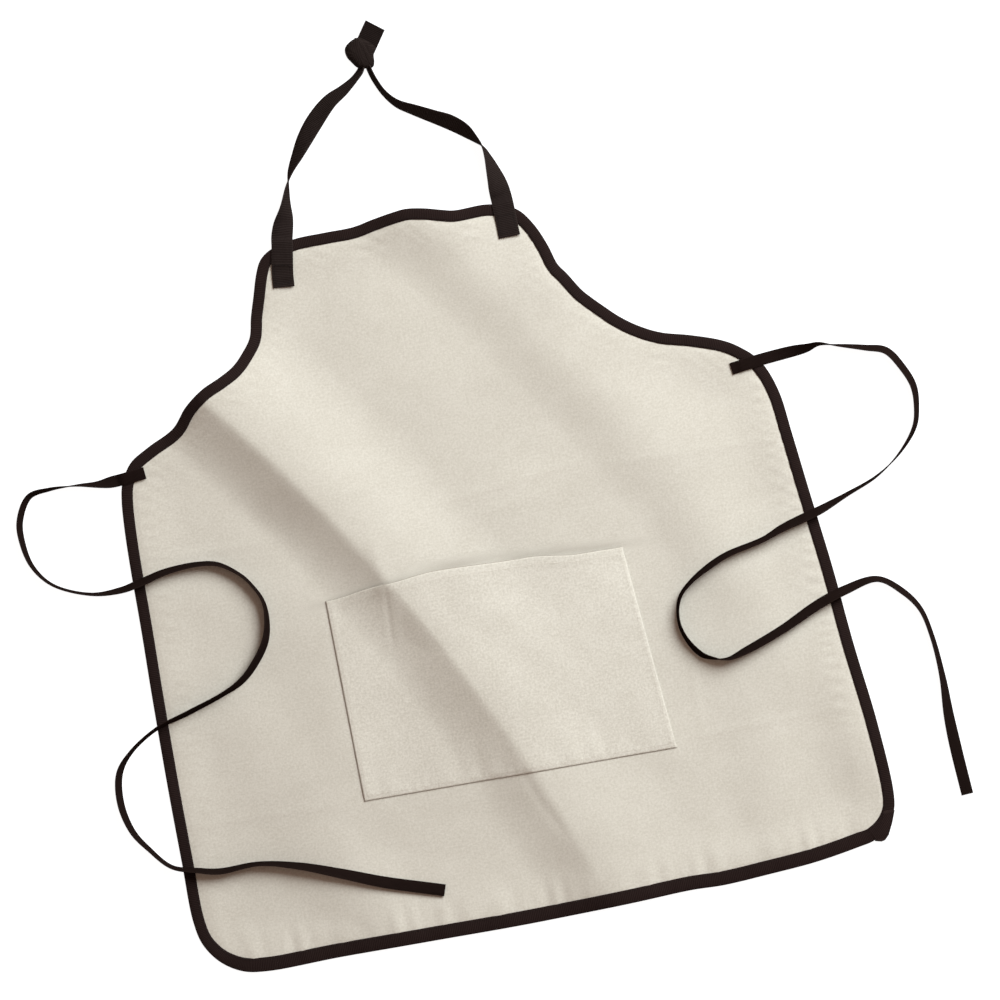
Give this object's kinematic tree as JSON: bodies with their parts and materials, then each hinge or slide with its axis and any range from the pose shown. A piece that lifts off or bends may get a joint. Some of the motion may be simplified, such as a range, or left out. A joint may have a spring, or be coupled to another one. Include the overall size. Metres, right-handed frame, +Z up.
{
  "type": "canvas bib work apron",
  "caption": "Canvas bib work apron laid flat: patch pocket with a standing mouth, bound edges, webbing neck straps tied in a knot, loose waist tapes.",
  "frame": {"origin": "on the floor under the middle of the apron's bounding box, its waist tapes left out, where the apron lies face up", "axes": "+X across the apron to the picture's right, +Y up the apron from the hem to the neck knot, +Z up out of the face"},
  "size_m": [0.9091, 0.9188, 0.022],
  "materials": {
    "canvas": "matte",
    "binding": "matte",
    "webbing": "matte",
    "tie_tape": "matte"
  },
  "bodies": {
    "root": {"body_panel": "canvas", "pocket": "canvas", "bib_binding": "binding", "armhole_binding_left": "binding", "armhole_binding_right": "binding", "skirt_binding": "binding", "side_binding_right": "binding", "neck_strap_left": "webbing", "neck_strap_right": "webbing", "neck_knot": "webbing", "waist_tie_left": "tie_tape", "waist_tie_right": "tie_tape"}
  },
  "joints": []
}
